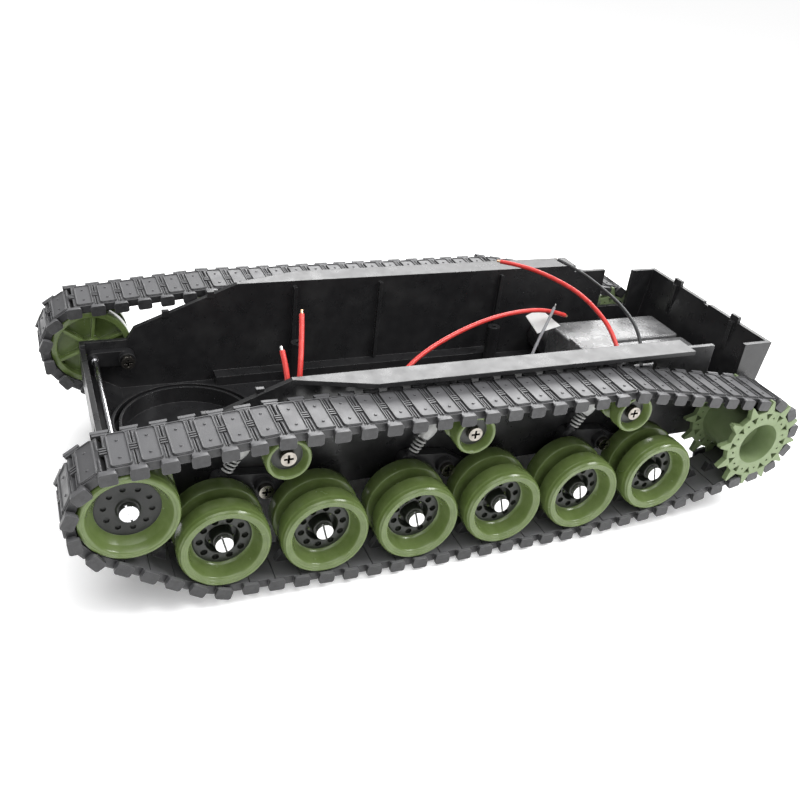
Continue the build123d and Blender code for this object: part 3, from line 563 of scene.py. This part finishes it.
def idler_mesh():
    """Olive twin disc with a wider smooth dish, ribs on the inner face and a dark flat hub."""
    rim = WHEEL_RADIUS
    body = [
        (1.58, 45.0), (3.4, 45.0), (3.4, 49.0), (12.4, 49.0), (12.4, 45.0), (14.3, 45.0), (rim, 45.4),
        (rim, 51.0), (14.4, 51.2), (8.2, 51.2), (8.2, 55.8), (14.4, 55.8), (rim, 56.2), (rim, 60.9),
        (14.5, 61.3), (14.45, 62.7), (14.0, 63.3), (13.3, 63.35), (13.1, 63.0), (12.6, 63.0), (12.2, 62.6),
        (11.4, 60.6), (9.6, 57.9), (9.5, 57.2), (1.58, 57.2)]
    bm = bmesh.new()
    lathe(bm, softened(body, 0.14), 80, 0)
    for k in range(IDLER_RIBS):
        rib = box_into(bm, (3.2, 45.7, -0.55), (12.6, 49.2, 0.55), 0)
        turn = Matrix.Rotation(math.radians(360 / IDLER_RIBS * k), 3, "Y")
        bmesh.ops.rotate(bm, verts=rib, cent=(0, 0, 0), matrix=turn)
    hub = [(1.6, 57.0), (9.65, 57.0), (9.65, 58.0), (9.3, 58.1), (5.4, 57.9), (3.6, 58.0), (3.2, 58.7),
           (1.6, 58.8)]
    hub_bm = bmesh.new()
    lathe(hub_bm, softened(hub, 0.1), 80, 0)
    hub_mesh = finished(hub_bm, "idler_hub")
    cut_bm = bmesh.new()
    for k in range(HUB_HOLES):
        angle = math.radians(360 / HUB_HOLES * k)
        rod_into(cut_bm, 6.9 * math.cos(angle), 6.9 * math.sin(angle), 57.3, 59.0, 0.85, 16)
    cut_mesh = finished(cut_bm, "idler_cut")
    hub_mesh = cut_with(hub_mesh, cut_mesh)
    start = len(bm.faces)
    bm.from_mesh(hub_mesh)
    bm.faces.ensure_lookup_table()
    for face in list(bm.faces)[start:]:
        face.material_index = 1
    return finished(bm, "idler")


def roller_mesh():
    """Small olive twin-disc roller with a dark dished face."""
    rim = ROLLER_RADIUS
    body = [
        (2.28, 45.4), (rim, 45.4), (rim, 51.2), (3.1, 51.2), (3.1, 55.8), (rim, 55.8), (rim, 60.3),
        (7.05, 60.8), (6.85, 61.15), (6.2, 61.15), (5.95, 60.9), (5.6, 59.8), (5.0, 58.6), (4.9, 57.6),
        (2.28, 57.6)]
    bm = bmesh.new()
    lathe(bm, softened(body, 0.1), 56, 0)
    lathe(bm, softened([(2.3, 57.5), (5.05, 57.5), (5.05, 58.3), (4.3, 58.4), (3.0, 58.4), (2.3, 58.4)], 0.08),
          56, 1)
    return finished(bm, "return_roller")


def add_wheels(materials):
    """Road wheels, rollers and idlers on both sides, each turned by its own random angle."""
    kinds = {
        "road_wheel": (road_wheel_mesh(), [(x, z) for x, z in zip(WHEEL_X, WHEEL_Z)]),
        "return_roller": (roller_mesh(), [(x, ROLLER_Z) for x in ROLLER_X]),
        "idler": (idler_mesh(), [(IDLER_X, IDLER_Z)]),
    }
    for kind, (mesh, places) in kinds.items():
        hub = "hub_black" if kind == "idler" else "hub_dark"
        for slot in ("wheel_olive", hub):
            mesh.materials.append(materials[slot])
        meshes = {"left": mesh, "right": mirrored_copy(mesh, f"{kind}_right")}
        for side in SIDES:
            for number, (x, z) in enumerate(places):
                node = f"{kind}_{side}" if kind == "idler" else f"{kind}_{side}_{number + 1}"
                turn = Matrix.Rotation(random.uniform(0, 2 * math.pi), 4, "Y")
                place = Matrix.Translation((MM * x, 0, MM * z)) @ turn
                piece(f"{node}_body", meshes[side], [], node, [node], place)


# ---------------------------------------------------------------- tracks

LINK_PITCH = 8.45
TREAD_TO_PIN = 1.0
SPROCKET_PIN_RADIUS = 6 * LINK_PITCH / math.pi
TOOTH_PHASE = 3.0
SMOOTH_ANGLE = 35.0
PLATE_HALF_WIDTH, PLATE_LOW, PLATE_HIGH = 8.9, -0.8, 1.9
PAD_HALF_LENGTH, PAD_HALF_WIDTH, PAD_CORNER = 3.05, 8.5, 1.2
PAD_LOW, PAD_HIGH, BORDER_LOW, BORDER_HIGH, BORDER_WIDTH = 1.1, 2.3, 2.1, 2.68, 0.45
DOT_Y, DOT_RADIUS, DOT_HEIGHT = 4.4, 0.55, 0.5
JOINT_BAR_WIDTH, JOINT_BARS_Y, JOINT_SLOTS_Y = 0.6, (-1.75, -0.55, 0.65), (-1.15, 0.05)
RIB_LENGTH, RIBS_Y = 6.1, (-8.3, 2.2)
LUG_HALF_LENGTH, LUG_NEAR, LUG_FAR, LUG_LOW, LUG_HIGH, LUG_CORNER = 2.6, 10.05, 11.35, -1.7, 2.2, 0.8
HORN_HALF_WIDTH, HORN_OUTLINE = 1.2, ((-2.4, -0.6), (2.4, -0.6), (0.4, -4.2), (-0.4, -4.2))


def path_circles():
    """Circles that the track's pins run around, in order along the run: (x, z, radius)."""
    under, over = WHEEL_RADIUS + TREAD_TO_PIN, ROLLER_RADIUS + TREAD_TO_PIN
    lower = [(IDLER_X, IDLER_Z, under)] + [(x, z, under) for x, z in zip(WHEEL_X, WHEEL_Z)]
    upper = [(x, ROLLER_Z, over) for x in reversed(ROLLER_X)]
    return lower + [(SPROCKET_X, SPROCKET_Z, SPROCKET_PIN_RADIUS)] + upper


def tangent_normal(a, b):
    """Angle of the outward normal of the belt tangent from circle a to circle b."""
    dx, dz = b[0] - a[0], b[1] - a[1]
    return math.atan2(dx, -dz) - math.asin((a[2] - b[2]) / math.hypot(dx, dz))


def on_circle(circle, angle):
    """Point of a path circle at an angle."""
    return circle[0] + circle[2] * math.cos(angle), circle[1] + circle[2] * math.sin(angle)


def path_pieces():
    """Arcs and straights of the closed path: (length, circle or start, normal angle, end)."""
    circles = path_circles()
    count = len(circles)
    normals = [tangent_normal(circles[k], circles[(k + 1) % count]) for k in range(count)]
    pieces = []
    for k, circle in enumerate(circles):
        sweep = (normals[k - 1] - normals[k]) % (2 * math.pi)
        pieces.append((sweep * circle[2], circle, normals[k - 1], None))
        start, end = on_circle(circle, normals[k]), on_circle(circles[(k + 1) % count], normals[k])
        pieces.append((math.dist(start, end), start, normals[k], end))
    return pieces


def point_on_path(distance, pieces):
    """Position and outward normal angle at a distance along the path."""
    for length, origin, angle, end in pieces:
        if distance > length:
            distance -= length
            continue
        if end is None:
            here = angle - distance / origin[2]
            return on_circle(origin, here), here
        share = distance / length
        return tuple(p + share * (q - p) for p, q in zip(origin, end)), angle
    return point_on_path(0, pieces)


def link_places(y):
    """One matrix per link, evenly along the path from a link centred on a sprocket tooth."""
    pieces = path_pieces()
    total = sum(item[0] for item in pieces)
    count = round(total / LINK_PITCH)
    drive = next(k for k, item in enumerate(pieces) if item[1][:2] == (SPROCKET_X, SPROCKET_Z))
    before_tooth = pieces[drive][2] % (2 * math.pi) - math.radians(180 + TOOTH_PHASE)
    start = sum(item[0] for item in pieces[:drive]) + before_tooth * SPROCKET_PIN_RADIUS
    places = []
    for k in range(count):
        (x, z), angle = point_on_path((start + k * total / count) % total, pieces)
        out = Vector((math.cos(angle), 0, math.sin(angle)))
        along = Vector((math.sin(angle), 0, -math.cos(angle)))
        rotation = Matrix((along, out.cross(along), out)).transposed().to_4x4()
        places.append(Matrix.Translation((MM * x, MM * y, MM * z)) @ rotation)
    return places


def frame_into(bm, half_x, half_y, corner, low, high, width):
    """Raised border of a pad: a rounded rectangular ring between two heights."""

    def loop(inset, z):
        points = []
        radius = max(corner - inset, 0.15)
        ax, ay = half_x - inset - radius, half_y - inset - radius
        for quarter, (sx, sy) in enumerate(((1, 1), (-1, 1), (-1, -1), (1, -1))):
            for step in range(4):
                angle = math.radians(90 * quarter + 30 * step)
                points.append(bm.verts.new((MM * (sx * ax + radius * math.cos(angle)),
                                            MM * (sy * ay + radius * math.sin(angle)), MM * z)))
        return points

    outer_low, outer_high = loop(0, low), loop(0.12, high)
    inner_high, inner_low = loop(width, high), loop(width + 0.12, low)
    loops = [outer_low, outer_high, inner_high, inner_low]
    count = len(outer_low)
    for first, second in zip(loops, loops[1:] + loops[:1]):
        for k in range(count):
            i = (k + 1) % count
            bm.faces.new((first[k], first[i], second[i], second[k]))


def round_edges(bm, verts, axis, corner):
    """Rounds the edges of a box that run along one axis."""
    edges = {edge for vert in verts for edge in vert.link_edges
             if abs(getattr(edge.verts[0].co, axis) - getattr(edge.verts[1].co, axis)) > MM}
    bmesh.ops.bevel(bm, geom=list(edges), offset=MM * corner, segments=3, affect="EDGES", profile=0.5)


def link_mesh():
    """One link about its own centre: plate, bordered pad, dots, slotted joint, lugs and guide horn."""
    bm = bmesh.new()
    half = LINK_PITCH / 2
    box_into(bm, (-half + 0.15, -PLATE_HALF_WIDTH, PLATE_LOW), (half - 0.15, PLATE_HALF_WIDTH, PLATE_HIGH))
    pad = box_into(bm, (-PAD_HALF_LENGTH, -PAD_HALF_WIDTH, PAD_LOW),
                   (PAD_HALF_LENGTH, PAD_HALF_WIDTH, PAD_HIGH))
    round_edges(bm, pad, "z", PAD_CORNER)
    frame_into(bm, PAD_HALF_LENGTH, PAD_HALF_WIDTH, PAD_CORNER, BORDER_LOW, BORDER_HIGH, BORDER_WIDTH)
    for y in (-DOT_Y, DOT_Y):
        bmesh.ops.create_cone(bm, cap_ends=True, segments=12, radius1=MM * DOT_RADIUS, radius2=MM * 0.4,
                              depth=MM * DOT_HEIGHT, matrix=Matrix.Translation((0, MM * y, MM * 2.35)))
    for y in JOINT_BARS_Y:
        box_into(bm, (half - 1.05, y, 1.5), (half + 1.05, y + JOINT_BAR_WIDTH, 2.4))
    # Thin near-black sheets on the plate between the joint bars: painted shade in the slots
    for y in JOINT_SLOTS_Y:
        box_into(bm, (half - 1.0, y, 1.9), (half + 1.0, y + JOINT_BAR_WIDTH, 1.96), 1)
    for y in RIBS_Y:
        box_into(bm, (-half + 0.3, y, 1.6), (-half + 0.62, y + RIB_LENGTH, 2.25))
        box_into(bm, (half - 0.62, y, 1.6), (half - 0.3, y + RIB_LENGTH, 2.25))
    for side in (1, -1):
        box_into(bm, (half - 2.2, 9.0 * side, 0.6), (half + 2.2, 10.2 * side, 2.0))
        lug = box_into(bm, (half - LUG_HALF_LENGTH, LUG_NEAR * side, LUG_LOW),
                       (half + LUG_HALF_LENGTH, LUG_FAR * side, LUG_HIGH))
        round_edges(bm, lug, "y", LUG_CORNER)
        box_into(bm, (half - 2.2, 8.5 * side, -0.7), (half - 0.5, 9.5 * side, 1.5))
    ends = [[bm.verts.new((MM * x, MM * y, MM * z)) for x, z in HORN_OUTLINE]
            for y in (-HORN_HALF_WIDTH, HORN_HALF_WIDTH)]
    for k in range(4):
        i = (k + 1) % 4
        bm.faces.new((ends[0][k], ends[0][i], ends[1][i], ends[1][k]))
    bm.faces.new(ends[0])
    bm.faces.new(ends[1])
    return finished(bm, "track_link", SMOOTH_ANGLE)


def add_tracks(materials):
    """Both closed runs of links; each run is one piece that stays with the chassis."""
    link = link_mesh()
    for side, sign in SIDES.items():
        bm = bmesh.new()
        for place in link_places(sign * SIDE_Y):
            copy = link.copy()
            copy.transform(place)
            bm.from_mesh(copy)
            bpy.data.meshes.remove(copy)
        mesh = finished(bm, f"track_{side}_links", SMOOTH_ANGLE)
        piece(f"track_{side}_links", mesh, [materials["track_charcoal"], materials["slot_dark"]],
              "chassis", [f"track_{side}"])


# ---------------------------------------------------------------- CAD pieces that stay

NODE_SLOTS = {row["node"]: row["material_slot"] for row in frame["record"]["subparts"]}


def dress_cad_nodes(materials):
    """Gives every shown CAD piece the material of its slot."""
    for node, made in frame["nodes"].items():
        made.data.materials.clear()
        made.data.materials.append(materials[NODE_SLOTS[node]])
        if not made.hide_render:
            smooth_by_angle(made.data, 30.0)


# ---------------------------------------------------------------- studio

WORLD_STRENGTH = 0.36
FLOOR_HALF_SIZE, FLOOR_DROP = 12.0, 0.0002
# The floor glows to a clean white, except under the chassis, where it stays in shadow
FLOOR_GLOW, SHADOW_HALF_X, SHADOW_HALF_Y, SHADOW_FADE = 0.62, 0.105, 0.036, 0.05
# Azimuth, elevation, distance, aim point, width, height, power
SOFTBOXES = {
    "back_softbox": (-122, 34.5, 1.25, (-0.02, 0.04, 0.06), 1.05, 0.5, 12.5),
    "top_softbox": (60, 72, 1.1, (0, 0, 0), 0.9, 0.9, 7.5),
    "front_softbox": (75, 28, 1.3, (0, 0, 0.02), 0.6, 0.4, 2.2),
    "side_softbox": (150, 48, 0.9, (0, 0.02, 0.03), 0.3, 0.3, 4.5),
}


def add_area(name, at, looks_at, width, height, power):
    """Rectangular softbox aimed at a point."""
    data = bpy.data.lights.new(name, "AREA")
    data.shape, data.size, data.size_y, data.energy = "RECTANGLE", width, height, power
    made = bpy.data.objects.new(name, data)
    bpy.context.scene.collection.objects.link(made)
    made.location = at
    made.rotation_euler = (Vector(looks_at) - Vector(at)).to_track_quat("-Z", "Y").to_euler()


def polar(azimuth, elevation, distance):
    """Point seen from the origin at an azimuth from +X and an elevation, in degrees and metres."""
    a, e = math.radians(azimuth), math.radians(elevation)
    return distance * math.cos(e) * math.cos(a), distance * math.cos(e) * math.sin(a), distance * math.sin(e)


def add_studio():
    """Even white surroundings, a pale floor and four softboxes."""
    world = bpy.data.worlds.new("studio")
    bpy.context.scene.world = world
    world.use_nodes = True
    background = world.node_tree.nodes["Background"]
    background.inputs["Color"].default_value = (1.0, 1.0, 1.0, 1.0)
    background.inputs["Strength"].default_value = WORLD_STRENGTH
    bm = bmesh.new()
    bmesh.ops.create_grid(bm, x_segments=2, y_segments=2, size=FLOOR_HALF_SIZE)
    mesh = bpy.data.meshes.new("floor")
    bm.to_mesh(mesh)
    bm.free()
    floor = bpy.data.objects.new("floor", mesh)
    bpy.context.scene.collection.objects.link(floor)
    floor.location.z = -FLOOR_DROP
    n = Nodes("floor_paper")
    n.link(n.mix(n.noise(3.0), (0.93, 0.93, 0.935), (0.95, 0.95, 0.95)), n.shader.inputs["Base Color"])
    n.shader.inputs["Roughness"].default_value = 0.9
    n.shader.inputs["Specular IOR Level"].default_value = 0.1
    n.shader.inputs["Emission Color"].default_value = (1.0, 1.0, 1.0, 1.0)
    away = n.distance_from_box(SHADOW_HALF_X, SHADOW_HALF_Y)
    n.link(n.remap(away, 0.0, SHADOW_FADE, 0.0, FLOOR_GLOW), n.shader.inputs["Emission Strength"])
    mesh.materials.append(n.material)
    for name, (azimuth, elevation, distance, aim, width, height, power) in SOFTBOXES.items():
        add_area(name, polar(azimuth, elevation, distance), aim, width, height, power)
    bpy.context.scene.view_settings.view_transform = "Standard"


# ---------------------------------------------------------------- build

add_camera()
palette = make_materials()
add_wires(palette)
add_wheels(palette)
add_tracks(palette)
dress_cad_nodes(palette)
add_studio()
